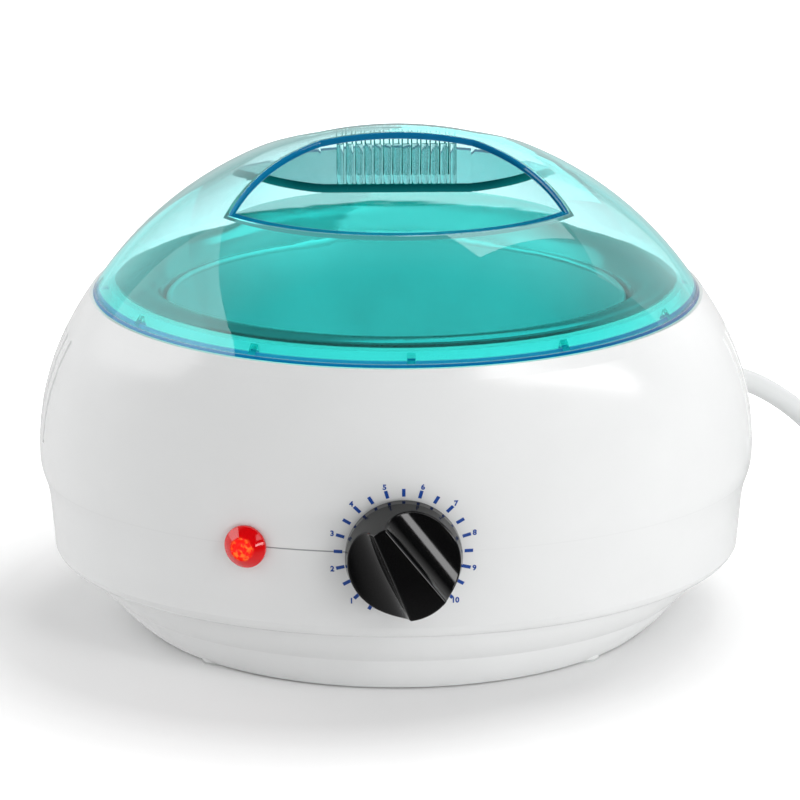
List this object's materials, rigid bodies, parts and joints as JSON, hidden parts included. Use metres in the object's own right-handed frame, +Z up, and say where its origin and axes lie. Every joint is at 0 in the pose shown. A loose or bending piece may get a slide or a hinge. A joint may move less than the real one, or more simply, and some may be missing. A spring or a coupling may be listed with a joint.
{
  "type": "wax warmer",
  "caption": "Round-topped electric wax warmer with a clear lift-off lid, a lift-out pot in a heated well, a thermostat knob, a pilot lamp and a mains lead.",
  "frame": {"origin": "on the table, under the middle of the warmer's own box, so 6.4 mm in front of the axis of the well, pot and lid", "axes": "+Z up, -Y to the front with the knob and lamp, +X and -X to the two grips"},
  "size_m": [0.405, 0.2508, 0.1645],
  "materials": {
    "casing_abs": "glossy white moulded ABS",
    "lid_clear": "clear teal-tinted moulded plastic, polished",
    "pot_aluminium": "spun aluminium, satin",
    "well_aluminium": "spun and polished aluminium",
    "knob_black": "glossy black moulding",
    "lamp_red": "translucent red moulding",
    "neon_glass": "clear glass bulb",
    "lead_grey": "pale grey PVC sheath",
    "sleeve_black": "soft black rubber",
    "foot_rubber": "soft pale grey rubber",
    "seal_silicone": "grey silicone",
    "screw_steel": "zinc-plated steel",
    "sheet_steel": "zinc-plated steel sheet",
    "brass_tab": "bright brass",
    "copper_tube": "bright copper",
    "phenolic": "dark brown phenolic moulding",
    "mica": "mica laminate",
    "block_cream": "cream polyamide moulding",
    "wire_red": "silicone-sleeved wire",
    "wire_brown": "PVC-sleeved wire",
    "wire_blue": "PVC-sleeved wire",
    "wire_green": "green and yellow PVC-sleeved wire"
  },
  "bodies": {
    "base": {"upper_casing": "casing_abs", "lower_casing": "casing_abs", "foot_back_right": "foot_rubber", "foot_back_left": "foot_rubber", "foot_front_left": "foot_rubber", "foot_front_right": "foot_rubber", "casing_screws": "screw_steel", "heating_well": "well_aluminium", "well_seal": "seal_silicone", "well_brackets": "sheet_steel", "bracket_screws": "screw_steel", "thermostat_body": "phenolic", "thermostat_plate": "sheet_steel", "thermostat_screws": "screw_steel", "thermostat_tabs": "brass_tab", "sensor_bulb": "copper_tube", "bulb_clip": "sheet_steel", "capillary_tube": "copper_tube", "heater_element": "mica", "heater_clamp_plate": "sheet_steel", "well_stud": "screw_steel", "earth_ring": "brass_tab", "heater_nut": "screw_steel", "thermal_fuse": "well_aluminium", "fuse_clip": "sheet_steel", "indicator_lens": "lamp_red", "lamp_plug": "block_cream", "neon_lamp": "neon_glass", "lamp_retainer": "sheet_steel", "strain_relief": "lead_grey", "inner_cord": "lead_grey", "cord_clamp": "block_cream", "clamp_screws": "screw_steel", "terminal_block": "block_cream", "terminal_screws": "brass_tab", "lead_live_supply": "wire_brown", "lead_neutral_supply": "wire_blue", "lead_earth_supply": "wire_green", "lead_to_thermostat": "wire_brown", "lead_to_fuse": "wire_red", "lead_to_heater": "wire_red", "lead_from_heater": "wire_blue", "lead_earth_bond": "wire_green", "lamp_leads": "wire_red", "cord": "lead_grey", "cord_coil": "lead_grey", "cord_tail": "lead_grey", "coil_tie": "sleeve_black", "plug_body": "lead_grey", "plug_pins": "screw_steel", "plug_earth_strips": "brass_tab"},
    "knob": {"control_knob": "knob_black", "thermostat_shaft": "brass_tab", "knob_spring": "sheet_steel"},
    "lid": {"lid": "lid_clear"},
    "pot": {"wax_pot": "pot_aluminium"}
  },
  "joints": [
    {"name": "knob_turn", "type": "hinge", "parent": "base", "child": "knob", "pos_m": [0, -0.09057, 0.0488], "axis": [0, -0.998, -0.0633], "range_deg": [0, 300]},
    {"name": "lid_lift", "type": "slide", "parent": "base", "child": "lid", "axis": [0, 0, 1], "range_m": [0, 0.2]},
    {"name": "pot_lift", "type": "slide", "parent": "base", "child": "pot", "axis": [0, 0, 1], "range_m": [0, 0.09]}
  ],
  "couplings": [
    {"joint": "pot_lift", "follows": "lid_lift", "ratio": 0.45}
  ]
}
